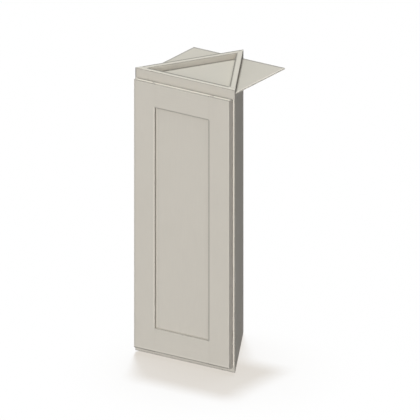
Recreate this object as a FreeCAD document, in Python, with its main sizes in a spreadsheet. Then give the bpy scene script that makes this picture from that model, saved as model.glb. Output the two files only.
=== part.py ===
import FreeCAD, Part
import Sketcher
import math
import os
import re

# Corner wall cabinet, three-sided in plan, with one framed door.
# +X runs right along the front, +Y to the back corner and +Z up.
# The origin is under the middle of the whole part, on the plane of its lower edges.

# Driving sizes, in millimetres, and one angle in degrees
SIZES = [
    ("cabinet_width", "304.8"),
    ("cabinet_height", "762"),
    ("side_angle", "60"),
    ("panel_thickness", "15.9"),
    ("overrun", "5"),
    # face frame
    ("frame_thickness", "15.9"),
    ("frame_width", "38.1"),
    ("dowel_radius", "4"),
    ("dowel_length", "40"),
    ("dowel_spacing", "18"),
    ("dowel_clearance", "0.1"),
    # top board and its kerfs
    ("tray_depth", "16.2"),
    ("top_board_width", "278.3"),
    ("top_board_back_margin", "18.46"),
    ("top_board_thickness", "3.2"),
    ("kerf_clearance", "0.15"),
    ("kerf_end_gap", "1.5"),
    ("top_cleat_thickness", "12"),
    ("top_cleat_setback", "0.7"),
    ("top_cleat_gap", "0.5"),
    # bottom board
    ("bottom_board_thickness", "15.9"),
    ("dado_depth", "6"),
    ("dado_clearance", "0.1"),
    # hanging rails and back corner
    ("hanging_rail_thickness", "12"),
    ("hanging_rail_height", "60"),
    ("hanging_rail_gap", "1.5"),
    ("hanging_hole_radius", "2.75"),
    ("hanging_hole_front", "85"),
    ("hanging_hole_spacing", "100"),
    # shelves and their pins
    ("shelf_thickness", "15.9"),
    ("shelf_side_gap", "1"),
    ("shelf_front_gap", "3"),
    ("shelf_back_gap", "2"),
    ("pin_hole_radius", "2.5"),
    ("pin_hole_depth", "9"),
    ("pin_hole_first", "160"),
    ("pin_hole_pitch", "50.8"),
    ("pin_hole_front", "72"),
    ("pin_hole_spacing", "110"),
    ("pin_clearance", "0.1"),
    ("pin_tongue_length", "9"),
    ("pin_tongue_width", "8"),
    ("pin_tongue_thickness", "1.6"),
    # door
    ("door_top_reveal", "25.4"),
    ("door_bottom_reveal", "14.3"),
    ("door_overlay", "31.1"),
    ("door_swing_clearance", "0.314"),
    ("door_member_width", "63.5"),
    ("door_edge_round", "1"),
    ("door_panel_thickness", "6.3"),
    ("door_panel_recess", "5.5"),
    ("door_back_lip", "2.5"),
    ("groove_depth", "9.5"),
    ("groove_clearance", "0.1"),
    ("tongue_gap", "0.1"),
    ("panel_float", "1.5"),
    ("bumper_radius", "4"),
    ("bumper_inset", "10"),
    ("bumper_end_inset", "14"),
    ("bumper_clearance", "0.3"),
    # hinges
    ("hinge_end_inset", "90"),
    ("hinge_pin_depth", "7.7"),
    ("hinge_pin_radius", "1"),
    ("hinge_pin_clearance", "0.05"),
    ("hinge_pin_hold", "3.5"),
    ("hinge_eye_radius", "2"),
    ("hinge_strip_thickness", "1.5"),
    ("hinge_strip_width", "8"),
    ("hinge_strip_gap", "0.5"),
    ("hinge_plate_end", "8"),
    ("hinge_plate_margin", "1.5"),
    ("hinge_cup_edge", "3"),
    ("hinge_cup_near_wall", "0.95"),
    ("hinge_cup_far_wall", "3.9"),
    ("hinge_cup_floor", "1.05"),
    ("hinge_cup_clearance", "0.1"),
    ("hinge_channel_gap", "0.25"),
    ("hinge_channel_spare", "1.5"),
    ("hinge_flange_thickness", "1"),
    ("hinge_flange_end", "6.5"),
    ("hinge_flange_near", "6"),
    ("hinge_flange_edge", "6"),
    # screws
    ("screw_radius", "1.7"),
    ("screw_clearance", "0.05"),
    ("screw_head_radius", "3.4"),
    ("screw_head_thickness", "1"),
    ("screw_slot_width", "0.8"),
    ("screw_slot_depth", "0.6"),
    ("cup_screw_length", "9"),
    ("cup_screw_offset", "9.5"),
    ("cup_screw_spacing", "45"),
    ("arm_screw_length", "18"),
    ("arm_screw_spacing", "28"),
]

# Counts
PIN_ROWS = 10
SHELF_ROWS = {"lower": 1, "upper": 6}

# Places that follow from the sizes
PLACES = {
    # plan of the whole cabinet
    "half_width": "cabinet_width / 2",
    "apex_depth": "half_width * tan(side_angle)",
    "side_length": "half_width / cos(side_angle)",
    "door_thickness": "door_panel_recess + door_panel_thickness + door_back_lip",
    "hinge_pin_inset": "hinge_cup_edge + hinge_cup_near_wall + hinge_channel_gap + hinge_eye_radius",
    "door_corner_swing": "sqrt(hinge_pin_inset ^ 2 + hinge_pin_depth ^ 2)",
    "door_gap": "door_corner_swing - hinge_pin_depth + door_swing_clearance",
    "door_proud": "door_gap + door_thickness",
    "front_y": "(door_proud - apex_depth) / 2",
    "apex_y": "front_y + apex_depth",
    "frame_back_y": "front_y + frame_thickness",
    "frame_middle_y": "front_y + frame_thickness / 2",
    "inner_apex_y": "apex_y - panel_thickness / cos(side_angle)",
    "top_board_back_y": "apex_y - top_board_back_margin",
    "block_depth": "hanging_rail_thickness / cos(side_angle) + hanging_rail_gap * tan(side_angle)",
    "block_front_y": "inner_apex_y - block_depth",
    # levels
    "top_board_top": "cabinet_height - tray_depth",
    "top_board_base": "top_board_top - top_board_thickness",
    "bottom_board_top": "frame_width",
    "bottom_board_base": "bottom_board_top - bottom_board_thickness",
    "opening_top": "cabinet_height - frame_width",
    "opening_half": "half_width - frame_width",
    "hang_upper_base": "top_board_base - hanging_rail_height",
    "top_cleat_height": "top_board_base - opening_top - top_cleat_setback",
    # door
    "door_half": "opening_half + door_overlay",
    "door_base": "door_bottom_reveal",
    "door_height": "cabinet_height - door_top_reveal - door_bottom_reveal",
    "door_top": "door_base + door_height",
    "door_front_y": "front_y - door_proud",
    "door_back_y": "front_y - door_gap",
    "door_inner_half": "door_half - door_member_width",
    "groove_front": "door_panel_recess - groove_clearance",
    "groove_back": "door_panel_recess + door_panel_thickness + groove_clearance",
    "tongue_half": "door_inner_half + groove_depth - tongue_gap",
    # hinges
    "hinge_x": "hinge_pin_inset - door_half",
    "hinge_y": "door_back_y - hinge_pin_depth",
    "cup_span": "door_overlay + hinge_strip_thickness + hinge_channel_spare + hinge_cup_far_wall",
    "hinge_cup_radius": "(cup_span - hinge_cup_edge) / 2",
    "hinge_cup_depth": "channel_depth + hinge_cup_floor",
    "cup_x": "hinge_cup_edge + hinge_cup_radius - door_half",
    "plate_x": "-opening_half",
    "plate_length": "frame_thickness - 2 * hinge_plate_margin",
    "hinge_plate_height": "arm_screw_spacing + 2 * hinge_plate_end",
    "hinge_flange_length": "cup_screw_spacing + 2 * hinge_flange_end",
    "hinge_flange_far": "cup_screw_offset + hinge_flange_edge",
    "channel_near": "hinge_eye_radius + hinge_channel_gap",
    "channel_far": "plate_x + hinge_strip_thickness - hinge_x + hinge_channel_spare",
    "channel_depth": "hinge_pin_depth + hinge_eye_radius + hinge_channel_gap",
    "channel_width": "hinge_strip_width + 2 * hinge_strip_gap",
    "hinge_pin_length": "channel_width + 2 * hinge_pin_hold",
}
HINGE_LEVELS = {
    "lower": "door_base + hinge_end_inset",
    "upper": "door_top - hinge_end_inset",
}

doc = FreeCAD.newDocument("CornerWallCabinet")
sheet = doc.addObject("Spreadsheet::Sheet", "Sizes")
for row, (alias, value) in enumerate(SIZES, start=1):
    sheet.set(f"A{row}", alias)
    sheet.set(f"B{row}", value)
    sheet.setAlias(f"B{row}", alias)
doc.recompute()

ALIASES = {alias for alias, value in SIZES}
UP = FreeCAD.Vector(0, 0, 1)
ALONG_X = FreeCAD.Rotation(FreeCAD.Vector(0, 1, 0), 90)
ALONG_Y = FreeCAD.Rotation(FreeCAD.Vector(1, 0, 0), -90)
UPRIGHT = FreeCAD.Rotation()
parts = []


def expand(text):
    """The expression with each size read from the sheet and each place worked out from sizes."""

    def word(match):
        name = match.group(0)
        if name in PLACES:
            return "(" + expand(PLACES[name]) + ")"
        if name in ALIASES:
            return "Sizes." + name
        return name

    return re.sub(r"[a-z_]+", word, text)


def bind(thing, **values):
    """Tie properties to expressions; place_x, place_y and place_z are the placement's base."""
    for name, text in values.items():
        if name.startswith("place_"):
            name = "Placement.Base." + name[-1]
        thing.setExpression(name, expand(text))
    return thing


def keep(thing, label):
    """Make an object one of the part's pieces, under its own name."""
    thing.Label = label
    parts.append(thing)
    return thing


# Part primitives


def block(name, x, y, z, low=("0", "0", "0"), turn=UPRIGHT):
    """A box of lengths x, y and z with its low corner at a place."""
    made = doc.addObject("Part::Box", name)
    made.Placement = FreeCAD.Placement(FreeCAD.Vector(), turn)
    bind(made, Length=x, Width=y, Height=z)
    return bind(made, place_x=low[0], place_y=low[1], place_z=low[2])


def rod(name, radius, length, base, turn=UPRIGHT):
    """A cylinder from a base point, upright unless turned."""
    made = doc.addObject("Part::Cylinder", name)
    made.Placement = FreeCAD.Placement(FreeCAD.Vector(), turn)
    bind(made, Radius=radius, Height=length)
    return bind(made, place_x=base[0], place_y=base[1], place_z=base[2])


def joined(name, shapes):
    made = doc.addObject("Part::MultiFuse", name)
    made.Shapes = shapes
    return made


def cut(name, base, tools):
    """The base with every tool taken out of it."""
    made = doc.addObject("Part::Cut", name)
    made.Base = base
    made.Tool = tools[0] if len(tools) == 1 else joined(name + "_tools", tools)
    return made


def group(label, shapes):
    """Separate solids of one kind, kept together as one piece list entry."""
    made = doc.addObject("Part::Compound", label)
    made.Links = shapes
    return keep(made, label)


# Bodies with sketches


def new_body(label):
    return keep(doc.addObject("PartDesign::Body", label), label)


def sketch_on(body, name, role, lift="0"):
    """An empty sketch at a distance from one of the body's own origin planes."""
    plane = [p for p in body.Origin.OriginFeatures if p.Role == role][0]
    sketch = body.newObject("Sketcher::SketchObject", name)
    sketch.AttachmentSupport = [(plane, "")]
    sketch.MapMode = "FlatFace"
    sketch.setExpression("AttachmentOffset.Base.z", expand(lift))
    return sketch


def pin_point(sketch, shape, point, x, y, now):
    """Hold a sketch point at two distances from the sketch's origin."""
    for kind, text, value in (("DistanceX", x, now.x), ("DistanceY", y, now.y)):
        held = Sketcher.Constraint(kind, -1, 1, shape, point, value)
        number = sketch.addConstraint(held)
        sketch.setExpression(f"Constraints[{number}]", expand(text))


def draw_outline(sketch, points):
    """A closed outline through points given as pairs of expressions."""
    count = len(points)
    first = len(sketch.Geometry)
    corners = []
    for number in range(count):
        turn = 2 * math.pi * number / count
        corners.append(FreeCAD.Vector(math.cos(turn), math.sin(turn), 0))
    for number in range(count):
        line = Part.LineSegment(corners[number], corners[(number + 1) % count])
        sketch.addGeometry(line, False)
    for number in range(count):
        after = first + (number + 1) % count
        sketch.addConstraint(Sketcher.Constraint("Coincident", first + number, 2, after, 1))
    for number, (x, y) in enumerate(points):
        pin_point(sketch, first + number, 1, x, y, corners[number])


def draw_circle(sketch, x, y, radius):
    """A circle whose centre and radius are expressions."""
    centre = FreeCAD.Vector(1, 1, 0)
    number = sketch.addGeometry(Part.Circle(centre, UP, 1), False)
    held = sketch.addConstraint(Sketcher.Constraint("Radius", number, 1))
    sketch.setExpression(f"Constraints[{held}]", expand(radius))
    pin_point(sketch, number, 3, x, y, centre)


def rectangle(x_low, x_high, y_low, y_high):
    return [(x_low, y_low), (x_high, y_low), (x_high, y_high), (x_low, y_high)]


def pad(body, sketch, length):
    made = body.newObject("PartDesign::Pad", "Pad_" + sketch.Name)
    made.Profile = sketch
    return bind(made, Length=length)


def pocket(body, sketch, length, reverse=False):
    """Cut a sketch into its body, and make sure that it took something away."""
    doc.recompute()
    before = body.Shape.Volume
    made = body.newObject("PartDesign::Pocket", "Pocket_" + sketch.Name)
    made.Profile = sketch
    made.Reversed = reverse
    bind(made, Length=length)
    doc.recompute()
    if not body.Shape.Volume < before:
        raise RuntimeError(f"{sketch.Name} cuts nothing from {body.Label}")
    return made


def board(label, points, base, thickness):
    """A flat board from its plan and its lower level."""
    body = new_body(label)
    sketch = sketch_on(body, "Plan_" + label, "XY_Plane")
    draw_outline(sketch, points)
    pad(body, sketch, thickness)
    bind(body, place_z=base)
    return body


def inner_half(depth_y, inset):
    """Half the width of the plan at a depth, that far in from the slanted outer faces."""
    return f"((apex_y - ({depth_y})) / tan(side_angle) - ({inset}) / sin(side_angle))"


def trapezoid(front_y, back_y, inset):
    """Plan of a piece between the slanted sides, cut square at front and back."""
    front = inner_half(front_y, inset)
    back = inner_half(back_y, inset)
    return [
        (f"-{front}", front_y),
        (front, front_y),
        (back, back_y),
        (f"-{back}", back_y),
    ]


# Slanted pieces lie along a side, with local X from the front corner to the back corner
# and local Y across the side. Inward is local +Y on the right and local -Y on the left.
SIDES = {"left": -1, "right": 1}


def on_side(thing, side, base="0"):
    """Stand a piece along the left or the right slanted side."""
    angle = "180 - side_angle" if SIDES[side] > 0 else "side_angle"
    thing.Placement = FreeCAD.Placement(FreeCAD.Vector(), FreeCAD.Rotation(UP, 1))
    bind(thing, place_x=f"{SIDES[side]} * half_width", place_y="front_y", place_z=base)
    thing.setExpression("Placement.Rotation.Angle", expand(angle))
    return thing


def along_at(depth, inset):
    """Distance along a side to a plane that lies a depth behind the frame's front."""
    return f"((({depth}) + ({inset}) * cos(side_angle)) / sin(side_angle))"


def side_plan(side, front, back, inner, outer="0"):
    """Local plan of a slanted piece whose two ends are parallel to the front."""
    sign = SIDES[side]
    return [
        (along_at(front, outer), f"{sign} * ({outer})"),
        (along_at(back, outer), f"{sign} * ({outer})"),
        (along_at(back, inner), f"{sign} * ({inner})"),
        (along_at(front, inner), f"{sign} * ({inner})"),
    ]


def side_panel(side):
    """Slanted side, mitred at the back corner, with its kerf, dado and holes."""
    sign = SIDES[side]
    label = "side_panel_" + side
    body = new_body(label)
    plan = sketch_on(body, "Plan_" + label, "XY_Plane")
    points = [
        (along_at("frame_thickness", "0"), "0"),
        ("side_length", "0"),
        ("side_length - panel_thickness * tan(side_angle)", f"{sign} * panel_thickness"),
        (along_at("frame_thickness", "panel_thickness"), f"{sign} * panel_thickness"),
    ]
    draw_outline(plan, points)
    pad(body, plan, "cabinet_height")

    kerf_back = "apex_depth - top_board_back_margin"
    kerf_inset = "top_board_back_margin * cos(side_angle)"
    kerf = sketch_on(body, "Kerf_" + label, "XZ_Plane")
    points = rectangle(
        "0",
        f"{along_at(kerf_back, kerf_inset)} + kerf_end_gap",
        "top_board_base - kerf_clearance",
        "top_board_top + kerf_clearance",
    )
    draw_outline(kerf, points)
    pocket(body, kerf, "panel_thickness + overrun", sign < 0)

    dado = sketch_on(body, "Dado_" + label, "XY_Plane", "bottom_board_base - dado_clearance")
    points = rectangle(
        "0",
        "cabinet_width",
        f"{sign} * (panel_thickness - dado_depth)",
        f"{sign} * (panel_thickness + overrun)",
    )
    draw_outline(dado, points)
    pocket(body, dado, "bottom_board_thickness + 2 * dado_clearance", True)

    holes = sketch_on(body, "Hanging_" + label, "XZ_Plane")
    for level in hanging_levels():
        for number in range(2):
            place = f"hanging_hole_front + {number} * hanging_hole_spacing"
            draw_circle(holes, place, level, "hanging_hole_radius")
    pocket(body, holes, "panel_thickness + overrun", sign < 0)

    floor = f"{-sign} * (panel_thickness - pin_hole_depth)"
    pins = sketch_on(body, "Pins_" + label, "XZ_Plane", floor)
    for row in range(PIN_ROWS):
        for number in range(2):
            place = f"pin_hole_front + {number} * pin_hole_spacing"
            level = f"pin_hole_first + {row} * pin_hole_pitch"
            draw_circle(pins, place, level, "pin_hole_radius")
    pocket(body, pins, "pin_hole_depth + overrun", sign < 0)
    on_side(body, side)


def hanging_levels():
    """Levels of the wall screws, at half the height of each hanging rail."""
    return [
        "bottom_board_top + hanging_rail_height / 2",
        "hang_upper_base + hanging_rail_height / 2",
    ]


def hanging_rail(level, side, base):
    """Drilled rail against the inside of a slanted side."""
    label = f"hanging_rail_{level}_{side}"
    body = new_body(label)
    plan = sketch_on(body, "Plan_" + label, "XY_Plane")
    inner = "panel_thickness + hanging_rail_thickness"
    front = "frame_thickness"
    back = "block_front_y - front_y"
    draw_outline(plan, side_plan(side, front, back, inner, "panel_thickness"))
    pad(body, plan, "hanging_rail_height")
    holes = sketch_on(body, "Holes_" + label, "XZ_Plane")
    for number in range(2):
        place = f"hanging_hole_front + {number} * hanging_hole_spacing"
        draw_circle(holes, place, "hanging_rail_height / 2", "hanging_hole_radius")
    pocket(body, holes, f"{inner} + overrun", SIDES[side] < 0)
    on_side(body, side, base)


def frame_stile(side):
    """Upright of the face frame, its outer edge bevelled to run on into the slanted side."""
    sign = SIDES[side]
    label = "stile_" + side
    body = new_body(label)
    plan = sketch_on(body, "Plan_" + label, "XY_Plane")
    points = [
        (f"{sign} * opening_half", "front_y"),
        (f"{sign} * half_width", "front_y"),
        (f"{sign} * {inner_half('frame_back_y', '0')}", "frame_back_y"),
        (f"{sign} * opening_half", "frame_back_y"),
    ]
    draw_outline(plan, points)
    pad(body, plan, "cabinet_height")

    dowels = sketch_on(body, "Dowels_" + label, "YZ_Plane", f"{sign} * (opening_half - overrun)")
    for level in dowel_levels():
        draw_circle(dowels, "frame_middle_y", level, "dowel_radius + dowel_clearance")
    pocket(body, dowels, "overrun + dowel_length / 2 + dowel_clearance", sign > 0)

    if side == "left":
        pilots = sketch_on(body, "Pilots_" + label, "YZ_Plane", "overrun - opening_half")
        for level in arm_screw_levels():
            draw_circle(pilots, "frame_middle_y", level, "screw_radius + screw_clearance")
        pocket(body, pilots, "overrun + arm_screw_length", False)


def dowel_levels():
    """Levels of the dowels, two in each rail."""
    middles = ["frame_width / 2", "cabinet_height - frame_width / 2"]
    return [f"{m} + {s} * dowel_spacing / 2" for m in middles for s in (-1, 1)]


def arm_screw_levels():
    return [f"{z} + {s} * arm_screw_spacing / 2" for z in HINGE_LEVELS.values() for s in (-1, 1)]


def frame_rail(level, base):
    """Rail of the face frame between the stiles, with a dowel hole at each end."""
    label = "rail_" + level
    body = new_body(label)
    face = sketch_on(body, "Face_" + label, "YZ_Plane", "-opening_half")
    draw_outline(face, rectangle("front_y", "frame_back_y", "0", "frame_width"))
    pad(body, face, "2 * opening_half")
    for end, sign in SIDES.items():
        place = f"{sign} * (opening_half + overrun)"
        dowels = sketch_on(body, f"Dowels_{label}_{end}", "YZ_Plane", place)
        for step in (-1, 1):
            middle = f"frame_width / 2 + {step} * dowel_spacing / 2"
            draw_circle(dowels, "frame_middle_y", middle, "dowel_radius + dowel_clearance")
        pocket(body, dowels, "overrun + dowel_length / 2 + dowel_clearance", sign < 0)
    bind(body, place_z=base)


def frame_dowels():
    """Dowels across the four joints of the face frame."""
    made = []
    for sign in (-1, 1):
        for level in dowel_levels():
            start = f"{sign} * opening_half - dowel_length / 2"
            base = (start, "frame_middle_y", level)
            made.append(rod("Dowel", "dowel_radius", "dowel_length", base, ALONG_X))
    group("frame_dowels", made)


def top_board():
    """Thin rectangular board that runs out through both sides."""
    half = "top_board_width / 2"
    plan = rectangle("-" + half, half, "frame_back_y", "top_board_back_y")
    board("top_board", plan, "top_board_base", "top_board_thickness")


def top_cleat():
    """Strip behind the top rail, under the front edge of the top board."""
    back = "frame_back_y + top_cleat_thickness"
    reach = inner_half(back, "panel_thickness + hanging_rail_thickness")
    half = f"({reach} - top_cleat_gap)"
    plan = rectangle(f"-{half}", half, "frame_back_y", back)
    board("top_cleat", plan, "top_board_base - top_cleat_height", "top_cleat_height")


def bottom_board():
    """Floor of the cabinet, held in the dados of both sides."""
    inset = "panel_thickness - dado_depth + dado_clearance"
    plan = trapezoid("frame_back_y", "inner_apex_y", inset)
    board("bottom_board", plan, "bottom_board_base", "bottom_board_thickness")


def corner_block():
    """Upright glue block in the back corner, with the two sides' mitre behind it."""
    half = inner_half("block_front_y", "panel_thickness")
    plan = [(f"-{half}", "block_front_y"), (half, "block_front_y"), ("0", "inner_apex_y")]
    board("corner_block", plan, "bottom_board_top", "top_board_base - bottom_board_top")


def shelf_level(name):
    """Upper face of the pins that carry a shelf."""
    return f"(pin_hole_first + {SHELF_ROWS[name]} * pin_hole_pitch + pin_hole_radius - pin_clearance)"


def shelf(name):
    """Loose shelf on four pins, clear of the sides, the frame and the corner block."""
    front = "frame_back_y + shelf_front_gap"
    back = "block_front_y - shelf_back_gap"
    plan = trapezoid(front, back, "panel_thickness + shelf_side_gap")
    board("shelf_" + name, plan, shelf_level(name), "shelf_thickness")


def shelf_pin(side, row, column):
    """One shelf support: a round peg in the side and a flat tongue under the shelf."""
    sign = SIDES[side]
    place = f"(pin_hole_front + {column} * pin_hole_spacing)"
    level = f"(pin_hole_first + {row} * pin_hole_pitch)"
    radius = "pin_hole_radius - pin_clearance"
    face = f"{sign} * panel_thickness"
    start = f"{sign} * (panel_thickness - pin_hole_depth + pin_clearance)"
    turn = FreeCAD.Rotation(FreeCAD.Vector(1, 0, 0), -90 * sign)
    length = "pin_hole_depth - pin_clearance + pin_tongue_thickness"
    peg = rod("Peg", radius, length, (place, start, level), turn)
    top = f"{level} + {radius}"
    near = "0" if sign > 0 else "-pin_tongue_length"
    start = f"{place} - pin_tongue_width / 2"
    tongue_low = (start, f"{face} + {near}", f"{top} - pin_tongue_thickness")
    width = "pin_tongue_width"
    thickness = "pin_tongue_thickness"
    tongue = block("Tongue", width, "pin_tongue_length", thickness, tongue_low)
    near = "0" if sign > 0 else "-pin_tongue_thickness"
    web_low = (start, f"{face} + {near}", f"{top} - pin_tongue_width")
    web = block("Web", width, thickness, width, web_low)
    return on_side(joined("ShelfPin", [peg, tongue, web]), side)


def shelf_pins():
    made = []
    for name in SHELF_ROWS:
        for side in SIDES:
            for column in range(2):
                made.append(shelf_pin(side, SHELF_ROWS[name], column))
    group("shelf_pins", made)


# Door


def door_stile(side):
    """Upright member of the door, grooved along its inner edge."""
    sign = SIDES[side]
    label = "door_stile_" + side
    body = new_body(label)
    plan = sketch_on(body, "Plan_" + label, "XY_Plane")
    floor = f"{sign} * (door_inner_half + groove_depth)"
    lip = f"{sign} * door_inner_half"
    points = [
        (lip, "door_front_y"),
        (f"{sign} * door_half", "door_front_y"),
        (f"{sign} * door_half", "door_back_y"),
        (lip, "door_back_y"),
        (lip, "door_front_y + groove_back"),
        (floor, "door_front_y + groove_back"),
        (floor, "door_front_y + groove_front"),
        (lip, "door_front_y + groove_front"),
    ]
    draw_outline(plan, points)
    pad(body, plan, "door_height")
    if side == "left":
        bore = sketch_on(body, "Cups_" + label, "XZ_Plane", "-(door_back_y + overrun)")
        for level in HINGE_LEVELS.values():
            radius = "hinge_cup_radius + hinge_cup_clearance"
            draw_circle(bore, "cup_x", f"{level} - door_base", radius)
        pocket(body, bore, "overrun + hinge_cup_depth + hinge_cup_clearance", True)
        pilots = sketch_on(body, "Pilots_" + label, "XZ_Plane", "-(door_back_y + overrun)")
        for level in cup_screw_levels():
            place = "cup_x + cup_screw_offset"
            radius = "screw_radius + screw_clearance"
            draw_circle(pilots, place, f"{level} - door_base", radius)
        pocket(body, pilots, "overrun + cup_screw_length", True)
    bind(body, place_z="door_base")
    return body


def cup_screw_levels():
    return [f"{z} + {s} * cup_screw_spacing / 2" for z in HINGE_LEVELS.values() for s in (-1, 1)]


def door_rail(level, base):
    """Level member of the door, grooved for the panel, with a tongue into each stile."""
    up = 1 if level == "bottom" else -1
    label = "door_rail_" + level
    body = new_body(label)
    face = sketch_on(body, "Face_" + label, "YZ_Plane", "-door_inner_half")
    outer = "0" if up > 0 else "door_member_width"
    inner = "door_member_width" if up > 0 else "0"
    floor = f"{inner} - {up} * groove_depth"
    points = [
        ("door_front_y", outer),
        ("door_back_y", outer),
        ("door_back_y", inner),
        ("door_front_y + groove_back", inner),
        ("door_front_y + groove_back", floor),
        ("door_front_y + groove_front", floor),
        ("door_front_y + groove_front", inner),
        ("door_front_y", inner),
    ]
    draw_outline(face, points)
    pad(body, face, "2 * door_inner_half")

    tongue = sketch_on(body, "Tongue_" + label, "YZ_Plane", "-tongue_half")
    front = "door_front_y + door_panel_recess"
    back = f"{front} + door_panel_thickness"
    draw_outline(tongue, rectangle(front, back, outer, floor))
    pad(body, tongue, "2 * tongue_half")
    bind(body, place_z=base)
    return body


def door_panel():
    """Flat centre panel, free to move a little in its grooves."""
    half = "(door_inner_half + groove_depth - panel_float)"
    base = "door_base + door_member_width - groove_depth + panel_float"
    height = "door_height - 2 * (door_member_width - groove_depth + panel_float)"
    low = (f"-{half}", "door_front_y + door_panel_recess", base)
    made = block("DoorPanel", f"2 * {half}", "door_panel_thickness", height, low)
    keep(made, "door_panel")


def round_edges(body, chosen):
    """Ease the edges of a body that a test picks, by the door's edge radius."""
    doc.recompute()
    names = []
    for number, edge in enumerate(body.Shape.Edges, start=1):
        if chosen(edge):
            names.append(f"Edge{number}")
    last = body.Tip
    made = body.newObject("PartDesign::Fillet", "Round_" + body.Name)
    made.Base = (last, names)
    bind(made, Radius="door_edge_round")
    return made


def lies_on(edge, axis, value):
    """Whether every end of an edge has one coordinate at a value."""
    ends = [vertex.Point[axis] for vertex in edge.Vertexes]
    return all(abs(end - value) < Part.Precision.approximation() for end in ends)


def door():
    """Five-piece door with its outer edges eased on both faces."""
    for side in SIDES:
        body = door_stile(side)
        doc.recompute()
        box = body.Shape.BoundBox
        outer = box.XMin if side == "left" else box.XMax
        round_edges(body, outer_edge_test(0, outer, box))
    for level, base in (("top", "door_top - door_member_width"), ("bottom", "door_base")):
        body = door_rail(level, base)
        doc.recompute()
        box = body.Shape.BoundBox
        outer = box.ZMax if level == "top" else box.ZMin
        round_edges(body, outer_edge_test(2, outer, box))
    door_panel()


def outer_edge_test(axis, outer, box):
    """Picks the long outer edges on the front and the back face."""

    def chosen(edge):
        on_outer = lies_on(edge, axis, outer)
        on_face = lies_on(edge, 1, box.YMin) or lies_on(edge, 1, box.YMax)
        return on_outer and on_face

    return chosen


def door_bumpers():
    """Soft discs on the free side, just clear of the frame when the door is shut."""
    made = []
    for level in ("door_base + bumper_end_inset", "door_top - bumper_end_inset"):
        base = ("door_half - bumper_inset", "door_back_y", level)
        made.append(rod("Bumper", "bumper_radius", "door_gap - bumper_clearance", base, ALONG_Y))
    group("door_bumpers", made)


# Hinges


def hinge_arm(name):
    """Fixed half of a hinge: an eye round the pin, a strip and a plate on the stile's edge."""
    level = HINGE_LEVELS[name]
    strip_low = ("hinge_x", "hinge_y - hinge_eye_radius", f"{level} - hinge_strip_width / 2")
    reach = "plate_x + hinge_strip_thickness - hinge_x"
    strip = block("Strip", reach, "hinge_strip_thickness", "hinge_strip_width", strip_low)
    riser_low = ("plate_x", "hinge_y - hinge_eye_radius", f"{level} - hinge_strip_width / 2")
    rise = "frame_middle_y - hinge_y + hinge_eye_radius"
    riser = block("Riser", "hinge_strip_thickness", rise, "hinge_strip_width", riser_low)
    plate_low = ("plate_x", "front_y + hinge_plate_margin", f"{level} - hinge_plate_height / 2")
    plate = block("Plate", "hinge_strip_thickness", "plate_length", "hinge_plate_height", plate_low)
    eye_base = ("hinge_x", "hinge_y", f"{level} - hinge_strip_width / 2")
    eye = rod("Eye", "hinge_eye_radius", "hinge_strip_width", eye_base)
    solid = joined("Arm_" + name, [strip, riser, plate, eye])
    bore_base = ("hinge_x", "hinge_y", f"{level} - hinge_strip_width / 2 - overrun")
    bore_length = "hinge_strip_width + 2 * overrun"
    tools = [rod("Bore", "hinge_pin_radius + hinge_pin_clearance", bore_length, bore_base)]
    for step in (-1, 1):
        height = f"{level} + {step} * arm_screw_spacing / 2"
        base = ("plate_x - overrun", "frame_middle_y", height)
        length = "hinge_strip_thickness + 2 * overrun"
        tools.append(rod("Hole", "screw_radius + screw_clearance", length, base, ALONG_X))
    keep(cut("hinge_arm_" + name, solid, tools), "hinge_arm_" + name)


def hinge_cup(name):
    """Moving half of a hinge: a cup with a channel for the arm, and a screw flange."""
    level = HINGE_LEVELS[name]
    cup_base = ("cup_x", "door_back_y - hinge_cup_depth", level)
    body = rod("Cup", "hinge_cup_radius", "hinge_cup_depth", cup_base, ALONG_Y)
    flange_low = ("cup_x - hinge_flange_near", "door_back_y", f"{level} - hinge_flange_length / 2")
    flange_width = "hinge_flange_near + hinge_flange_far"
    flange = block("Flange", flange_width, "hinge_flange_thickness", "hinge_flange_length", flange_low)
    channel_base = f"{level} - channel_width / 2"
    channel_low = ("hinge_x - channel_near", "door_back_y - channel_depth", channel_base)
    channel_length = "channel_near + channel_far"
    channel_cut = "channel_depth + overrun"
    channel = block("Channel", channel_length, channel_cut, "channel_width", channel_low)
    bore_radius = "hinge_pin_radius + hinge_pin_clearance"
    bore_base = ("hinge_x", "hinge_y", f"{level} - hinge_cup_radius")
    bore = rod("PinBore", bore_radius, "2 * hinge_cup_radius", bore_base)
    tools = [channel, bore]
    for step in (-1, 1):
        height = f"{level} + {step} * cup_screw_spacing / 2"
        base = ("cup_x + cup_screw_offset", "door_back_y - overrun", height)
        length = "hinge_flange_thickness + 2 * overrun"
        tools.append(rod("Hole", "screw_radius + screw_clearance", length, base, ALONG_Y))
    solid = joined("CupBody_" + name, [body, flange])
    keep(cut("hinge_cup_" + name, solid, tools), "hinge_cup_" + name)


def hinge_pin(name):
    base = ("hinge_x", "hinge_y", f"{HINGE_LEVELS[name]} - hinge_pin_length / 2")
    keep(rod("Pin_" + name, "hinge_pin_radius", "hinge_pin_length", base), "hinge_pin_" + name)


def screw(name, length, seat, turn):
    """Slotted pan-head screw: the shank runs back from the seat, the head stands on it."""
    shank = rod("Shank", "screw_radius", length, ("0", "0", f"-({length})"))
    head = rod("Head", "screw_head_radius", "screw_head_thickness", ("0", "0", "0"))
    slot_depth = "screw_head_thickness - screw_slot_depth"
    slot_low = ("-screw_head_radius", "-screw_slot_width / 2", slot_depth)
    slot_length = "2 * screw_head_radius"
    slot = block("Slot", slot_length, "screw_slot_width", "screw_slot_depth + overrun", slot_low)
    made = cut(name, joined(name + "_blank", [shank, head]), [slot])
    made.Placement = FreeCAD.Placement(FreeCAD.Vector(), turn)
    return bind(made, place_x=seat[0], place_y=seat[1], place_z=seat[2])


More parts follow.
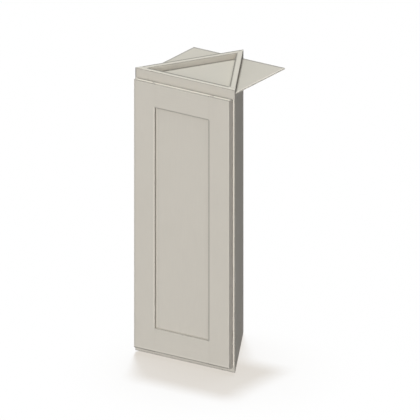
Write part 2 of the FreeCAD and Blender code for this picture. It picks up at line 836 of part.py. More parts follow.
def hinge_arm_screws():
    made = []
    for level in arm_screw_levels():
        seat = ("plate_x + hinge_strip_thickness", "frame_middle_y", level)
        length = "arm_screw_length - screw_clearance + hinge_strip_thickness"
        made.append(screw("ArmScrew", length, seat, ALONG_X))
    group("hinge_arm_screws", made)


def hinge_cup_screws():
    made = []
    for level in cup_screw_levels():
        seat = ("cup_x + cup_screw_offset", "door_back_y + hinge_flange_thickness", level)
        length = "cup_screw_length - screw_clearance + hinge_flange_thickness"
        made.append(screw("CupScrew", length, seat, ALONG_Y))
    group("hinge_cup_screws", made)


# The whole cabinet

for side in SIDES:
    side_panel(side)
    frame_stile(side)
    hanging_rail("lower", side, "bottom_board_top")
    hanging_rail("upper", side, "hang_upper_base")
frame_rail("bottom", "0")
frame_rail("top", "opening_top")
frame_dowels()
top_board()
top_cleat()
bottom_board()
corner_block()
for name in SHELF_ROWS:
    shelf(name)
shelf_pins()
door()
door_bumpers()
for name in HINGE_LEVELS:
    hinge_arm(name)
    hinge_cup(name)
    hinge_pin(name)
hinge_arm_screws()
hinge_cup_screws()

doc.recompute()
for thing in doc.Objects:
    if "Invalid" in thing.State or "Error" in thing.State:
        raise RuntimeError(f"{thing.Name} {thing.Label}: {thing.State}")
for thing in parts:
    if thing.Shape.isNull() or not thing.Shape.isValid():
        raise RuntimeError(f"{thing.Label} has no sound shape")

os.makedirs("parts", exist_ok=True)
for thing in parts:
    thing.Shape.exportStep(f"parts/{thing.Label}.step")
    print(thing.Label, len(thing.Shape.Solids), round(thing.Shape.Volume))
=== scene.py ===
"""Looks of the corner wall cabinet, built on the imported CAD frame. Metres, in the CAD's own frame."""

import math
from collections import namedtuple

import bpy
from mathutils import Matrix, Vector

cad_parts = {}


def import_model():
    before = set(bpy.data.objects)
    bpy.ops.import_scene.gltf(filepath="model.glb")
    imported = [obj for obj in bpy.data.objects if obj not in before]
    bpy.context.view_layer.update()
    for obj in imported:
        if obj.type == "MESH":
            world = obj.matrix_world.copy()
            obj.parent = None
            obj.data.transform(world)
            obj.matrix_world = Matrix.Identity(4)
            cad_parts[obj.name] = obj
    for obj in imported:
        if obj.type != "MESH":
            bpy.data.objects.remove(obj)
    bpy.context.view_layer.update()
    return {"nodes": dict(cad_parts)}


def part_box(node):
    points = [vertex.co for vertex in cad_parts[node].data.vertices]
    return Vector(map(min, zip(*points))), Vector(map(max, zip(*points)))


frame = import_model()
nodes = frame["nodes"]

# Colours, linear
WHITE = (1, 1, 1, 1)
GREIGE = (0.566, 0.534, 0.476, 1)
MAPLE_LIGHT = (0.64, 0.475, 0.30, 1)
MAPLE_DARK = (0.46, 0.30, 0.165, 1)
BEECH_LIGHT = (0.56, 0.37, 0.22, 1)
BEECH_DARK = (0.40, 0.24, 0.13, 1)
NICKEL = (0.66, 0.64, 0.60, 1)
ZINC = (0.60, 0.61, 0.62, 1)
BRIGHT_STEEL = (0.74, 0.73, 0.71, 1)
RUBBER_PALE = (0.80, 0.82, 0.80, 1)
RUBBER_DEEP = (0.62, 0.64, 0.61, 1)

# Specular levels, and how dark the glaze is
PAINT_GLOSS = 0.015
WOOD_GLOSS = 0.35
GLAZE_TONE = 0.55

X_AXIS, Y_AXIS, Z_AXIS = 0, 1, 2
LEFT, RIGHT = -1, 1

# Planes and levels that the finishes follow
TOP_BOARD_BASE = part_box("top_board")[0].z
TOP_BOARD_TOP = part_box("top_board")[1].z
BOARD_HALF, BOARD_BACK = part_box("top_board")[1].xy
DOOR_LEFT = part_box("door_stile_left")[0].x
DOOR_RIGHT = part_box("door_stile_right")[1].x
DOOR_FRONT, DOOR_BACK = [corner.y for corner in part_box("door_stile_left")]
DOOR_LOW, RAIL_LOW = [corner.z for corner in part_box("door_rail_bottom")]
RAIL_HIGH, DOOR_HIGH = [corner.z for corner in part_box("door_rail_top")]
PANEL_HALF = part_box("door_stile_right")[0].x
PANEL_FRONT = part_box("door_panel")[0].y
FRAME_LOW, FRAME_RAIL_LOW = [corner.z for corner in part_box("rail_bottom")]
FRAME_RAIL_HIGH, FRAME_HIGH = [corner.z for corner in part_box("rail_top")]
FRAME_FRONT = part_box("rail_top")[0].y
FRAME_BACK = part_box("rail_top")[1].y
FRAME_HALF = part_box("stile_right")[1].x
STILE_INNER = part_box("stile_right")[0].x
INNER_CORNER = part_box("corner_block")[1].y

# The slanted sides, and how far from the middle the tray on top has its front corners
SIDE_TURN = math.radians(60)
SIDE_NORMAL = Vector((math.sin(SIDE_TURN), math.cos(SIDE_TURN), 0))
SIDE_THICKNESS = 0.0159
SIDE_DEPTH = FRAME_HALF * SIDE_NORMAL.x + FRAME_FRONT * SIDE_NORMAL.y
SIDE_INNER = SIDE_DEPTH - SIDE_THICKNESS
TRAY_CORNER = 0.1249

# A zone is a part of space where the paint is given painted light or shade, or has no glaze. Each of its
# limits is a middle and a half width, and the keys are x, y, z, across (x without its sign) and depth
# (the distance from the middle line, square to a slanted side). Zones run a little past the edges that they
# follow.
FAR = 1.0
SLACK = 0.001
SEAM = 0.0022
ZONE_BLUR = 0.0008

# Painted light and shade: each entry makes a zone's paint paler or darker in place of light and shade, by
# one factor for upright faces and one for tops. A band of painted light and shade goes from one factor to
# another between two places along a coordinate. A lift is painted light that makes a zone paler where
# another piece is within reach, as far as that piece shades it.
Tint = namedtuple("Tint", "zone upright top", defaults=(1.0, 1.0))
Band = namedtuple("Band", "zone along ends factors")
Lift = namedtuple("Lift", "zone reach amount")


def span(low, high):
    return (low + high) / 2, (high - low) / 2


def past(edge, width):
    """The strip on an edge's high side."""
    return span(edge - SLACK, edge + width)


def before(edge, width):
    """The strip on an edge's low side."""
    return span(edge - width, edge + SLACK)


ON_DOOR_FRONT = {"y": (DOOR_FRONT, SLACK)}
ON_DOOR_TOP = {"z": (DOOR_HIGH, SLACK)}
ON_PANEL_FRONT = {"y": (PANEL_FRONT, SLACK)}
ON_FRAME_FRONT = {"y": (FRAME_FRONT, SLACK)}
ON_RIM_TOP = {"z": (FRAME_HIGH, SLACK)}
ON_SIDE_OUTSIDE = {"depth": (SIDE_DEPTH, SLACK)}
BESIDE_PANEL = {**ON_DOOR_FRONT, "z": span(RAIL_LOW, RAIL_HIGH)}
ON_DOOR_RAIL = {**ON_DOOR_FRONT, "across": span(-FAR, PANEL_HALF)}
TRAY_WALL = {"depth": (SIDE_INNER, SLACK), "z": span(TOP_BOARD_TOP, FRAME_HIGH - 0.0005)}

# Where flush members meet and no glaze lies
TOP_SEAM_END = 0.0025
DOOR_MEETING = (PANEL_HALF, SEAM)
DOOR_TOP_SEAM = span(DOOR_FRONT + TOP_SEAM_END, DOOR_BACK - TOP_SEAM_END)
DOOR_JOINTS = [
    {"across": DOOR_MEETING, "z": span(DOOR_LOW + SEAM, RAIL_LOW - SEAM)},
    {"across": DOOR_MEETING, "z": span(RAIL_HIGH + SEAM, DOOR_HIGH - SEAM)},
    {"across": DOOR_MEETING, "y": DOOR_TOP_SEAM, "z": (DOOR_HIGH, SEAM)},
    {"x": before(DOOR_RIGHT, 0.004), "y": (DOOR_FRONT, 0.003)},
]
FRAME_MEETING = (STILE_INNER, SEAM)
FRAME_TOP_SEAM = span(FRAME_FRONT + TOP_SEAM_END, FRAME_BACK - TOP_SEAM_END)
FRAME_JOINTS = [
    {"across": FRAME_MEETING, "z": span(FRAME_LOW + SEAM, FRAME_RAIL_LOW - SEAM)},
    {"across": FRAME_MEETING, "z": span(FRAME_RAIL_HIGH + SEAM, FRAME_HIGH - SEAM)},
    {"across": FRAME_MEETING, "y": FRAME_TOP_SEAM, "z": (FRAME_HIGH, SEAM)},
    {"across": span(TRAY_CORNER, 0.2), "y": (FRAME_BACK, SEAM)},
]
TRAY_MITRE_END = INNER_CORNER + 0.0285
SIDE_JOINTS = [
    {"y": (FRAME_BACK, SEAM)},
    {"across": (0, SEAM), "y": span(INNER_CORNER + SEAM, FAR), "z": span(FRAME_LOW - SEAM, SEAM)},
    {"across": (0, 2 * SEAM), "y": span(INNER_CORNER, TRAY_MITRE_END), "z": span(TOP_BOARD_TOP, FAR)},
]
BOARD_PLAIN = [{"x": before(BOARD_HALF, 0.004), "z": span(TOP_BOARD_BASE + 0.0012, FAR)}]

# Painted light and shade on the face frame, where its paint is made paler or darker, and darker towards the
# door's top
RIM_EDGE_WIDTH = 0.0055
FOOT_LINE = (0.0012, 0.0030)
RIM_INNER_EDGE = {**ON_RIM_TOP, "y": before(FRAME_BACK, RIM_EDGE_WIDTH), "across": span(-FAR, TRAY_CORNER)}
BELOW_DOOR = {**ON_FRAME_FRONT, "z": span(FOOT_LINE[1], DOOR_LOW), "across": span(-FAR, DOOR_RIGHT)}
FRAME_PAINTED_LIGHT = [
    Tint(RIM_INNER_EDGE, top=0.55),
    Tint({**ON_RIM_TOP, "y": span(FRAME_FRONT, FRAME_BACK - RIM_EDGE_WIDTH)}, top=1.08),
    Tint({**ON_RIM_TOP, "y": past(FRAME_FRONT, 0.004)}, top=1.15),
    Tint({**ON_FRAME_FRONT, "z": before(FRAME_HIGH, 0.0025)}, upright=0.95),
    Tint({**ON_FRAME_FRONT, "x": past(-FRAME_HALF, 0.003), "z": span(DOOR_HIGH, FAR)}, upright=0.58),
    Tint({**ON_FRAME_FRONT, "z": span(*FOOT_LINE)}, upright=0.82),
    Tint(BELOW_DOOR, upright=1.06),
]
FRAME_BANDS = [Band({}, "z", (DOOR_HIGH - 0.02, DOOR_HIGH), (1.0, 0.94))]

# Painted light: the frame's strip beside the door is made paler while the door lies close to it, as far as
# the door shades it
DOOR_SIDE = {
    **ON_FRAME_FRONT,
    "across": span(DOOR_RIGHT + 0.0008, DOOR_RIGHT + 0.0040),
    "z": span(DOOR_LOW, DOOR_HIGH),
}
FRAME_LIFT = Lift(DOOR_SIDE, reach=0.012, amount=2.8)

# Painted light and shade on the slanted sides: the tray's walls paler, most towards its corners, the
# outsides
# # darker, the rim's outer faces above the top board darker still, and darker strips along an edge of the
# rim's top
SIDE_BANDS = [
    Band(TRAY_WALL, "across", (0.090, 0.122), (1.0, 1.42)),
    Band(TRAY_WALL, "across", (0.0, 0.020), (1.12, 1.0)),
]
SIDE_PAINTED_LIGHT = [
    Tint(TRAY_WALL, upright=1.06),
    Tint(ON_SIDE_OUTSIDE, upright=0.905),
    Tint({**ON_SIDE_OUTSIDE, "z": span(TOP_BOARD_TOP, FRAME_HIGH)}, upright=0.55),
]
LEFT_SIDE_PAINTED_LIGHT = SIDE_PAINTED_LIGHT + [Tint({**ON_RIM_TOP, "depth": before(SIDE_DEPTH, 0.0040)}, top=0.48)]
RIGHT_SIDE_PAINTED_LIGHT = SIDE_PAINTED_LIGHT + [Tint({**ON_RIM_TOP, "depth": past(SIDE_INNER, 0.0035)}, top=0.52)]

# Painted light and shade on the door's frame and its panel, where their paint is made paler or darker
DOOR_FOOT_LINE = 0.0024
PANEL_WALL = {**BESIDE_PANEL, "x": (-PANEL_HALF, 0.0008), "y": span(DOOR_FRONT + 0.0012, PANEL_FRONT)}
DOOR_PAINTED_LIGHT = [
    Tint({**ON_DOOR_FRONT, "x": past(DOOR_LEFT, 0.005)}, upright=0.92),
    Tint({**ON_DOOR_FRONT, "x": before(DOOR_RIGHT, 0.003)}, upright=1.08),
    Tint({**ON_DOOR_TOP, "y": past(DOOR_FRONT, 0.004)}, top=0.66),
    Tint({**ON_DOOR_TOP, "y": before(DOOR_BACK, 0.0035)}, top=0.60),
    Tint({**ON_DOOR_RAIL, "z": before(DOOR_HIGH, 0.0016)}, upright=0.80),
    Tint({**ON_DOOR_RAIL, "z": past(RAIL_HIGH, 0.0024)}, upright=0.80),
    Tint({**ON_DOOR_FRONT, "z": past(DOOR_LOW, DOOR_FOOT_LINE)}, upright=0.58),
    Tint({**ON_DOOR_FRONT, "z": span(DOOR_LOW + DOOR_FOOT_LINE, DOOR_LOW + 0.0060)}, upright=1.07),
    Tint({"z": (RAIL_LOW, SLACK)}, top=0.85),
    Tint({**BESIDE_PANEL, "x": span(-PANEL_HALF - 0.003, -PANEL_HALF - 0.0002)}, upright=1.34),
    Tint({**BESIDE_PANEL, "x": span(PANEL_HALF + 0.0008, PANEL_HALF + 0.0045)}, upright=0.76),
    Tint(PANEL_WALL, upright=0.80),
]
PANEL_PAINTED_LIGHT = [
    Tint({**ON_PANEL_FRONT, "x": span(-PANEL_HALF, -PANEL_HALF + 0.0040)}, upright=1.36),
    Tint({**ON_PANEL_FRONT, "z": span(RAIL_HIGH - 0.0026, RAIL_HIGH)}, upright=0.92),
]

# Painted light and shade on the top board, inside the tray and on the wings outside it: its paint is made
# # paler or darker, with a painted highlight on its right edge
OUTSIDE = SIDE_DEPTH + 0.0002
WINGS = {"depth": span(OUTSIDE - SLACK, FAR), "z": (TOP_BOARD_TOP, SLACK)}
RIGHT_WING = {**WINGS, "x": span(0, FAR)}
BOARD_PAINTED_LIGHT = [
    Tint({"x": before(BOARD_HALF, 0.0035)}, upright=1.70, top=1.30),
    Tint({"x": past(-BOARD_HALF, 0.005)}, top=0.80),
    Tint({"y": before(BOARD_BACK, 0.006)}, top=0.72),
    Tint({"x": span(-FAR, 0.0), "depth": span(SIDE_INNER - 0.006, SIDE_INNER)}, top=0.87),
    Tint({"depth": span(OUTSIDE, FAR)}, top=1.02),
]
BOARD_BANDS = [
    Band(RIGHT_WING, "depth", (OUTSIDE, OUTSIDE + 0.060), (1.06, 1.0)),
    Band(WINGS, "depth", (OUTSIDE, OUTSIDE + 0.030), (1.065, 1.0)),
    Band(WINGS, "depth", (OUTSIDE + 0.003, OUTSIDE + 0.008), (1.22, 1.0)),
]


# Node graph helpers

# The part of a noise's range that is used most
NOISE_SWING = (0.3, 0.7)

# Where masks start and are full, by the cosine between two directions: the rounded normal and the
# flat one for edges, and a face's normal and up or outward for the ways that it may face
THIN_EDGE = (0.99, 0.95)
BROAD_EDGE = (0.98, 0.85)
FACING_UP = (0.8, 0.95)
FACING_IN = (-0.4, -0.6)


class Graph:
    """The node tree of a material or of the world, with short calls to add and link nodes."""

    def __init__(self, owner):
        owner.use_nodes = True
        self.owner = owner
        self.tree = owner.node_tree
        self.tree.nodes.clear()

    def add(self, kind, inputs=None, **settings):
        made = self.tree.nodes.new(kind)
        for key, value in settings.items():
            setattr(made, key, value)
        for key, value in (inputs or {}).items():
            self.feed(made.inputs[key], value)
        return made

    def feed(self, socket, value):
        if isinstance(value, bpy.types.NodeSocket):
            self.tree.links.new(value, socket)
        else:
            socket.default_value = value

    def math(self, operation, *values):
        made = self.add("ShaderNodeMath", operation=operation)
        for number, value in enumerate(values):
            self.feed(made.inputs[number], value)
        return made.outputs[0]

    def plus(self, total, *others):
        for other in others:
            total = self.math("ADD", total, other)
        return total

    def times(self, total, *others):
        for other in others:
            total = self.math("MULTIPLY", total, other)
        return total

    def scaled(self, value, amount, change):
        """A value times 1 + change, as far as the amount goes."""
        return self.times(value, self.math("MULTIPLY_ADD", amount, change, 1.0))

    def dot(self, a, b):
        made = self.add("ShaderNodeVectorMath", operation="DOT_PRODUCT")
        self.feed(made.inputs[0], a)
        self.feed(made.inputs[1], b)
        return made.outputs["Value"]

    def split(self, vector):
        return self.add("ShaderNodeSeparateXYZ", {"Vector": vector}).outputs

    def spread(self, value, low, high, at_low=0.0, at_high=1.0):
        """A value's way from low to high, laid on another range and held at its ends."""
        ends = {"From Min": low, "From Max": high, "To Min": at_low, "To Max": at_high}
        made = self.add("ShaderNodeMapRange", {"Value": value, **ends}, clamp=True)
        return made.outputs["Result"]

    def between(self, share, at_zero, at_one):
        return self.spread(share, 0, 1, at_zero, at_one)

    def vary(self, noise, low, high):
        return self.spread(noise, *NOISE_SWING, low, high)

    def mix(self, share, a, b, blend="MIX"):
        """A mix of two colours, which are the node's inputs 6 and 7."""
        made = self.add("ShaderNodeMix", data_type="RGBA", blend_type=blend, clamp_factor=True)
        self.feed(made.inputs["Factor"], share)
        self.feed(made.inputs[6], a)
        self.feed(made.inputs[7], b)
        return made.outputs[2]

    def noise(self, vector, scale, detail, roughness, distortion=0.0):
        values = {"Vector": vector, "Scale": scale, "Detail": detail, "Roughness": roughness}
        values["Distortion"] = distortion
        return self.add("ShaderNodeTexNoise", values).outputs["Fac"]

    def place(self, stretch=(1, 1, 1), offset=(0, 0, 0)):
        coords = self.add("ShaderNodeTexCoord").outputs["Object"]
        values = {"Vector": coords, "Scale": stretch, "Location": offset}
        return self.add("ShaderNodeMapping", values).outputs["Vector"]

    def openness(self, reach, samples=8):
        """1 where nothing is within reach, less beside and under other surfaces."""
        made = self.add("ShaderNodeAmbientOcclusion", {"Distance": reach}, samples=samples)
        return made.outputs["AO"]

    def crease(self, reach, depth, start=0.95, full=0.35):
        """Painted shade: a factor that darkens inner corners by a depth."""
        return self.spread(self.openness(reach), full, start, 1.0 - depth, 1.0)

    def rounded(self, radius, samples=12):
        """The normal that the surface would have with rounded edges."""
        return self.add("ShaderNodeBevel", {"Radius": radius}, samples=samples).outputs["Normal"]

    def edge(self, rounded, start, full):
        """1 on sharp edges, where the rounded normal leaves the flat one."""
        flat = self.add("ShaderNodeNewGeometry").outputs["Normal"]
        return self.spread(self.dot(rounded, flat), start, full)

    def bump(self, height, distance, strength, normal):
        values = {"Height": height, "Distance": distance, "Strength": strength, "Normal": normal}
        return self.add("ShaderNodeBump", values).outputs["Normal"]

    def principled(self, layers, constants):
        """A surface with three layers, colour, roughness and normal, and the shader's constants."""
        colour, roughness, normal = layers
        values = {"Base Color": colour, "Roughness": roughness, "Normal": normal, **constants}
        return self.add("ShaderNodeBsdfPrincipled", values).outputs["BSDF"]

    def mix_shader(self, share, first, second):
        made = self.add("ShaderNodeMixShader", {"Fac": share})
        self.feed(made.inputs[1], first)
        self.feed(made.inputs[2], second)
        return made.outputs[0]

    def finish(self, shader, output="ShaderNodeOutputMaterial"):
        self.tree.links.new(shader, self.add(output).inputs["Surface"])
        return self.owner


def material_graph(name):
    return Graph(bpy.data.materials.new(name))


def drawn_out(axis, share):
    """A texture scale that draws a pattern out along one axis."""
    scale = [1.0, 1.0, 1.0]
    scale[axis] = share
    return scale


def dimmed(colour, share):
    return tuple(share * channel for channel in colour[:3]) + (1,)


def whereabouts(graph, spot):
    """The coordinates that zones use."""
    parts = graph.split(spot)
    across = graph.math("ABSOLUTE", parts["X"])
    depth = graph.times(across, SIDE_NORMAL.x)
    depth = graph.math("MULTIPLY_ADD", parts["Y"], SIDE_NORMAL.y, depth)
    return {"x": parts["X"], "y": parts["Y"], "z": parts["Z"], "across": across, "depth": depth}


def inside(graph, place, zone):
    """1 inside a zone, 0 outside it, with a short blur at its limits."""
    amount = 1.0
    for key, (middle, half) in zone.items():
        away = graph.math("ABSOLUTE", graph.math("SUBTRACT", place[key], middle))
        within = graph.spread(away, half - ZONE_BLUR, half + ZONE_BLUR, 1.0, 0.0)
        amount = graph.times(amount, within)
    return amount


# Finishes


def with_painted_light(graph, tone, place, upward, tints, bands, lift):
    """The paint's tone with the painted light and shade of its zones."""
    for tint in tints:
        change = graph.between(upward, tint.upright - 1, tint.top - 1)
        tone = graph.scaled(tone, inside(graph, place, tint.zone), change)
    for band in bands:
        start, end = band.factors
        change = graph.spread(place[band.along], *band.ends, start - 1, end - 1)
        tone = graph.scaled(tone, inside(graph, place, band.zone), change)
    # Painted light: a lifted zone is made paler as far as a piece within reach shades it
    if lift:
        covered = graph.math("SUBTRACT", 1.0, graph.openness(lift.reach, samples=16))
        tone = graph.scaled(tone, graph.times(inside(graph, place, lift.zone), covered), lift.amount)
    return tone


def paint_layers(
    graph,
    along,
    seed,
    top_painted_light=1.13,
    lines=(0.0024, 0.0040),
    shade_reach=0.0035,
    crease_depth=0.15,
    quiet=(),
    tints=(),
    bands=(),
    lift=None,
):
    """Satin paint with glaze wiped into its edges, and painted light and shade: colour, roughness and normal
    sockets.

    Brush marks run along one axis. The glaze lines, dark lines along every edge, outer ones and inner
    corners alike, have one width on upright faces and one on tops, and there are none in the quiet zones.
    Tops are made paler as a painted highlight, and the zones add painted light and shade. Painted shade
    reaches out of a crease and is as dark as its depth.
    """
    where = graph.place((1, 1, 1), (seed, 0, 0))
    brushed = graph.place(drawn_out(along, 0.06), (0, seed, 0))
    strokes = graph.noise(brushed, scale=420, detail=3, roughness=0.6)
    clouds = graph.noise(where, scale=7, detail=3, roughness=0.6)
    peel = graph.noise(where, scale=520, detail=2, roughness=0.5)
    specks = graph.noise(where, scale=1600, detail=1, roughness=0.5)
    wiping = graph.noise(where, scale=60, detail=3, roughness=0.7)
    coords = graph.add("ShaderNodeTexCoord").outputs
    place = whereabouts(graph, coords["Object"])
    upward = graph.spread(graph.split(coords["Normal"])["Z"], *FACING_UP)

    glaze = graph.edge(graph.rounded(graph.between(upward, *lines)), *THIN_EDGE)
    for zone in quiet:
        glaze = graph.times(glaze, graph.math("SUBTRACT", 1.0, inside(graph, place, zone)))
    glaze = graph.times(glaze, graph.spread(wiping, 0.35, 0.65, 0.8, 1.0))

    tone = graph.plus(
        graph.vary(clouds, 0.985, 1.015),
        graph.vary(strokes, -0.012, 0.012),
        graph.spread(specks, 0.25, 0.75, -0.008, 0.008),
    )
    # Painted highlight: tops are made paler. Then the zones' painted light and shade
    tone = graph.times(tone, graph.between(upward, 1.0, top_painted_light))
    tone = with_painted_light(graph, tone, place, upward, tints, bands, lift)
    # Darker on the glaze lines, and painted shade in creases
    tone = graph.times(tone, graph.between(glaze, 1.0, GLAZE_TONE), graph.crease(shade_reach, crease_depth))
    colour = graph.mix(1.0, GREIGE, tone, "MULTIPLY")

    roughness = graph.plus(graph.vary(clouds, 0.56, 0.64), graph.vary(specks, -0.03, 0.03))
    height = graph.plus(graph.times(peel, 0.6), graph.times(strokes, 0.5))
    rounded = graph.rounded(radius=0.0015, samples=8)
    normal = graph.bump(height, distance=0.00009, strength=0.55, normal=rounded)
    return colour, roughness, normal


def wood_layers(graph, along, light, dark, seed):
    """Fine straight-grained veneer, with painted shade in its creases: colour, roughness and normal sockets.
    """
    fine = drawn_out(along, 0.025)
    broad = drawn_out(along, 0.10)
    fibres = graph.noise(graph.place(fine, (seed, 0, 0)), scale=900, detail=4, roughness=0.65)
    pores = graph.noise(graph.place(fine, (0, 0, seed)), scale=2400, detail=1, roughness=0.5)
    wavy = graph.place(broad, (0, seed, 0))
    figure = graph.noise(wavy, scale=26, detail=4, roughness=0.55, distortion=1.4)
    pore_mask = graph.spread(pores, 0.60, 0.72)
    rounded = graph.rounded(radius=0.0008)
    edge = graph.edge(rounded, *BROAD_EDGE)

    dark_share = graph.plus(graph.spread(figure, 0.32, 0.68, 0.0, 0.62), graph.vary(fibres, 0.0, 0.34))
    colour = graph.mix(dark_share, light, dark)
    colour = graph.mix(graph.times(pore_mask, 0.35), colour, dimmed(dark, 0.7))
    colour = graph.mix(graph.times(edge, 0.22), colour, dark)
    # Painted shade in creases and beside other pieces
    colour = graph.mix(1.0, colour, graph.crease(reach=0.007, depth=0.18), "MULTIPLY")

    roughness = graph.vary(fibres, 0.46, 0.60)
    height = graph.math("SUBTRACT", fibres, graph.times(pore_mask, 0.5))
    normal = graph.bump(height, distance=0.00008, strength=0.6, normal=rounded)
    return colour, roughness, normal


def painted_surface(graph, along, seed, **looks):
    layers = paint_layers(graph, along, seed, **looks)
    return graph.principled(layers, {"Specular IOR Level": PAINT_GLOSS})


def wooden_surface(graph, along, light, dark, seed):
    layers = wood_layers(graph, along, light, dark, seed)
    return graph.principled(layers, {"Specular IOR Level": WOOD_GLOSS})


def paint(name, along, seed, **looks):
    graph = material_graph(name)
    return graph.finish(painted_surface(graph, along, seed, **looks))


def wood(name, along, seed, light=MAPLE_LIGHT, dark=MAPLE_DARK):
    graph = material_graph(name)
    return graph.finish(wooden_surface(graph, along, light, dark, seed))


def side_finish(name, side, seed, tints):
    """Slanted side: painted outside and in the tray, bare veneer on its inner face below."""
    graph = material_graph(name)
    looks = {"quiet": SIDE_JOINTS, "tints": tints, "bands": SIDE_BANDS, "crease_depth": 0.0}
    painted = painted_surface(graph, Z_AXIS, seed, **looks)
    veneer = wooden_surface(graph, Z_AXIS, MAPLE_LIGHT, MAPLE_DARK, seed)
    coords = graph.add("ShaderNodeTexCoord").outputs
    outward = (side * SIDE_NORMAL.x, SIDE_NORMAL.y, 0)
    inner = graph.spread(graph.dot(coords["Normal"], outward), *FACING_IN)
    below = graph.math("LESS_THAN", graph.split(coords["Object"])["Z"], TOP_BOARD_BASE)
    return graph.finish(graph.mix_shader(graph.times(inner, below), painted, veneer))


def metal(name, colour, along, seed, roughness):
    """Plated steel with fine drawn scratches and duller patches, painted shade in its creases and a painted
    highlight on its edges.
    """
    graph = material_graph(name)
    drawn = graph.place(drawn_out(along, 0.04), (seed, 0, 0))
    scratches = graph.noise(drawn, scale=3500, detail=3, roughness=0.6)
    patches = graph.noise(graph.place((1, 1, 1), (0, seed, 0)), scale=180, detail=3, roughness=0.6)
    rounded = graph.rounded(radius=0.0003)
    edge = graph.edge(rounded, *BROAD_EDGE)
    base = graph.mix(graph.spread(patches, 0.4, 0.75, 0.0, 0.5), colour, dimmed(colour, 0.72))
    # Painted shade in creases
    base = graph.mix(1.0, base, graph.crease(reach=0.002, depth=0.45, start=0.9, full=0.3), "MULTIPLY")
    # Painted highlight: the edges are whitened
    base = graph.mix(graph.times(edge, 0.4), base, WHITE)
    rough = graph.plus(graph.vary(patches, roughness, roughness + 0.12), graph.vary(scratches, -0.04, 0.04))
    normal = graph.bump(scratches, distance=0.00002, strength=0.5, normal=rounded)
    return graph.finish(graph.principled((base, rough, normal), {"Metallic": 1.0}))


def clear_rubber(name):
    graph = material_graph(name)
    haze = graph.noise(graph.place(), scale=900, detail=3, roughness=0.6)
    colour = graph.mix(haze, RUBBER_PALE, RUBBER_DEEP)
    roughness = graph.vary(haze, 0.25, 0.42)
    normal = graph.bump(haze, distance=0.00005, strength=0.4, normal=graph.rounded(radius=0.0006))
    constants = {"Transmission Weight": 0.55, "IOR": 1.42}
    return graph.finish(graph.principled((colour, roughness, normal), constants))


# Finishes by piece. The seed shifts a finish in its patterns, so that no two are alike.

frame_looks = {"quiet": FRAME_JOINTS, "tints": FRAME_PAINTED_LIGHT, "bands": FRAME_BANDS, "lift": FRAME_LIFT}
door_looks = {"quiet": DOOR_JOINTS, "tints": DOOR_PAINTED_LIGHT}
board_looks = {
    "top_painted_light": 1.03,
    "lines": (0.0012, 0.005),
    "shade_reach": 0.009,
    "crease_depth": 0.56,
    "quiet": BOARD_PLAIN,
    "tints": BOARD_PAINTED_LIGHT,
    "bands": BOARD_BANDS,
}
LEVEL_MAPLE_PIECES = [
    "top_cleat",
    "bottom_board",
    "shelf_lower",
    "shelf_upper",
    "hanging_rail_lower_left",
    "hanging_rail_lower_right",
    "hanging_rail_upper_left",
    "hanging_rail_upper_right",
]
HINGE_BODIES = ["hinge_arm_lower", "hinge_arm_upper", "hinge_cup_lower", "hinge_cup_upper"]
HINGE_PINS = ["hinge_pin_lower", "hinge_pin_upper"]

finishes = [
    (side_finish("side_left", LEFT, seed=0.9, tints=LEFT_SIDE_PAINTED_LIGHT), ["side_panel_left"]),
    (side_finish("side_right", RIGHT, seed=2.6, tints=RIGHT_SIDE_PAINTED_LIGHT), ["side_panel_right"]),
    (paint("frame_upright", Z_AXIS, seed=0.31, **frame_looks), ["stile_left", "stile_right"]),
    (paint("frame_level", X_AXIS, seed=1.73, **frame_looks), ["rail_bottom", "rail_top"]),
    (paint("door_upright", Z_AXIS, seed=2.45, **door_looks), ["door_stile_left", "door_stile_right"]),
    (paint("door_level", X_AXIS, seed=3.16, **door_looks), ["door_rail_bottom", "door_rail_top"]),
    (paint("door_field", Z_AXIS, seed=5.3, crease_depth=0.34, tints=PANEL_PAINTED_LIGHT), ["door_panel"]),
    (paint("board_paint", X_AXIS, seed=4.2, **board_looks), ["top_board"]),
    (wood("maple_upright", Z_AXIS, seed=0.57), ["corner_block"]),
    (wood("maple_level", X_AXIS, seed=2.11), LEVEL_MAPLE_PIECES),
    (wood("beech_dowel", X_AXIS, seed=3.7, light=BEECH_LIGHT, dark=BEECH_DARK), ["frame_dowels"]),
    (metal("nickel_pin", NICKEL, X_AXIS, seed=0.2, roughness=0.24), ["shelf_pins"]),
    (metal("nickel_arm", NICKEL, Z_AXIS, seed=1.2, roughness=0.26), HINGE_BODIES),
    (metal("bright_pin", BRIGHT_STEEL, Z_AXIS, seed=2.2, roughness=0.18), HINGE_PINS),
    (metal("zinc_screw", ZINC, Y_AXIS, seed=3.2, roughness=0.30), ["hinge_arm_screws", "hinge_cup_screws"]),
    (clear_rubber("clear_rubber"), ["door_bumpers"]),
]
for finish, names in finishes:
    for name in names:
        nodes[name].data.materials.clear()
        nodes[name].data.materials.append(finish)


# Floor, just under the cabinet's lower edges. Two lamps light it alone, beside the light that the
# studio gives. The shadow share is the part of its white, by channel, that a shadow can take away.

FLOOR_LEVEL = -0.004
FLOOR_HALF = 60.0
SHADOW_SHARE = (0.305, 0.349, 0.408)
STUDIO_LIGHT_ON_TOP = 1.09
FLOOR_LAMP = 15.0
FLOOR_SOFT_LAMP = 6.5
FLOOR_LIGHT = STUDIO_LIGHT_ON_TOP + FLOOR_LAMP + FLOOR_SOFT_LAMP
FLOOR_GLOW = 0.34

floor_mesh = bpy.data.meshes.new("floor")
corners = [(x * FLOOR_HALF, y * FLOOR_HALF, FLOOR_LEVEL) for x, y in ((-1, -1), (1, -1), (1, 1), (-1, 1))]
floor_mesh.from_pydata(corners, [], [(0, 1, 2, 3)])
floor = bpy.data.objects.new("floor", floor_mesh)
bpy.context.scene.collection.objects.link(floor)


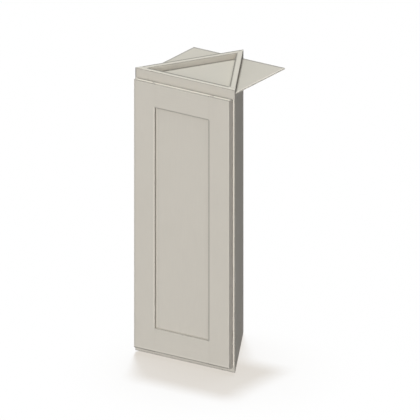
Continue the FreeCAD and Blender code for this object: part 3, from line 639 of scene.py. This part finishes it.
def seen(graph):
    """1 for rays from the camera, and for those that metal or glass sends on."""
    rays = graph.add("ShaderNodeLightPath").outputs
    both = graph.math("MAXIMUM", rays["Is Camera Ray"], rays["Is Glossy Ray"])
    return graph.math("MAXIMUM", both, rays["Is Transmission Ray"])


def floor_finish():
    """White where it is seen, with the object's soft warm shadow, and a plain dim glow for its light."""
    graph = material_graph("floor")
    lit_share = [share / FLOOR_LIGHT for share in SHADOW_SHARE] + [1]
    plain_share = [1 - share for share in SHADOW_SHARE] + [1]
    lit = graph.add("ShaderNodeBsdfDiffuse", {"Color": lit_share}).outputs[0]
    plain = graph.add("ShaderNodeEmission", {"Color": plain_share, "Strength": 1.0}).outputs[0]
    shown = graph.add("ShaderNodeAddShader")
    graph.feed(shown.inputs[0], plain)
    graph.feed(shown.inputs[1], lit)
    glow = graph.add("ShaderNodeEmission", {"Color": WHITE, "Strength": FLOOR_GLOW}).outputs[0]
    return graph.finish(graph.mix_shader(seen(graph), glow, shown.outputs[0]))


floor_mesh.materials.append(floor_finish())


# Studio light: a sky with a broad bright front and a dim back, seen as plain white, and one large lamp
# overhead. Each line of sky levels says from where to where in the direction, and the values there.

SKY_BEHIND = (0.5, -0.15, 0.0, 0.49)
SKY_IN_FRONT = (-0.15, -1.0, 0.0, 1.88)
SKY_SIDEWAYS = (-1.0, 1.0, 1.04, 0.96)
SKY_UPWARDS = (0.0, 0.8, 1.6, 0.2)
BACKDROP = 1.0

world = bpy.data.worlds.new("studio")
bpy.context.scene.world = world
sky = Graph(world)
direction = sky.split(sky.add("ShaderNodeTexCoord").outputs["Generated"])
level = sky.plus(sky.spread(direction["Y"], *SKY_BEHIND), sky.spread(direction["Y"], *SKY_IN_FRONT))
level = sky.times(level, sky.spread(direction["X"], *SKY_SIDEWAYS), sky.spread(direction["Z"], *SKY_UPWARDS))
light = sky.add("ShaderNodeBackground", {"Color": WHITE, "Strength": level}).outputs[0]
backdrop = sky.add("ShaderNodeBackground", {"Color": WHITE, "Strength": BACKDROP}).outputs[0]
sky.finish(sky.mix_shader(seen(sky), light, backdrop), "ShaderNodeOutputWorld")

# The photograph is a parallel view from the right and above
AZIMUTH = math.radians(34)
ELEVATION = math.radians(20)
UP = Vector((0, 0, 1))
CAMERA_SIDE = Vector((math.sin(AZIMUTH), -math.cos(AZIMUTH), 0))

LAMP_HEIGHT = 3.0
OVERHEAD_COLOUR = (0.965, 1.0, 0.995)
FLOOR_LAMP_LEAN = 13.6


def lamp(name, strength, softness, lean=0.0, colour=(1, 1, 1)):
    """A lamp above, as far away as the sun, that may lean back, away from the camera's side."""
    tilt = math.radians(lean)
    towards = CAMERA_SIDE * math.sin(tilt) - UP * math.cos(tilt)
    data = bpy.data.lights.new(name, "SUN")
    data.energy = strength * math.pi / math.cos(tilt)
    data.angle = math.radians(softness)
    data.color = colour
    made = bpy.data.objects.new(name, data)
    made.location = UP * LAMP_HEIGHT
    made.rotation_mode = "QUATERNION"
    made.rotation_quaternion = towards.to_track_quat("-Z", "Y")
    bpy.context.scene.collection.objects.link(made)
    return made


lamp("overhead", strength=0.71, softness=30, colour=OVERHEAD_COLOUR)
floor_lamps = [
    lamp("floor_lamp", FLOOR_LAMP, softness=6, lean=FLOOR_LAMP_LEAN),
    lamp("floor_soft_lamp", FLOOR_SOFT_LAMP, softness=34, lean=FLOOR_LAMP_LEAN),
]
floor_only = bpy.data.collections.new("floor_only")
floor_only.objects.link(floor)
for made in floor_lamps:
    made.light_linking.receiver_collection = floor_only


# Camera

VIEW_WIDTH = 1.0646
VIEW_POINT = Vector((0.0521, -0.0884, 0.4086))
CAMERA_DISTANCE = 4.0
CAMERA_REACH = 30.0

back = CAMERA_SIDE * math.cos(ELEVATION) + UP * math.sin(ELEVATION)
camera_data = bpy.data.cameras.new("camera")
camera_data.type = "ORTHO"
camera_data.ortho_scale = VIEW_WIDTH
camera_data.clip_end = CAMERA_REACH
camera = bpy.data.objects.new("camera", camera_data)
camera.location = VIEW_POINT + back * CAMERA_DISTANCE
camera.rotation_mode = "QUATERNION"
camera.rotation_quaternion = (-back).to_track_quat("-Z", "Y")
bpy.context.scene.collection.objects.link(camera)
bpy.context.scene.camera = camera

bpy.context.scene.view_settings.view_transform = "Standard"
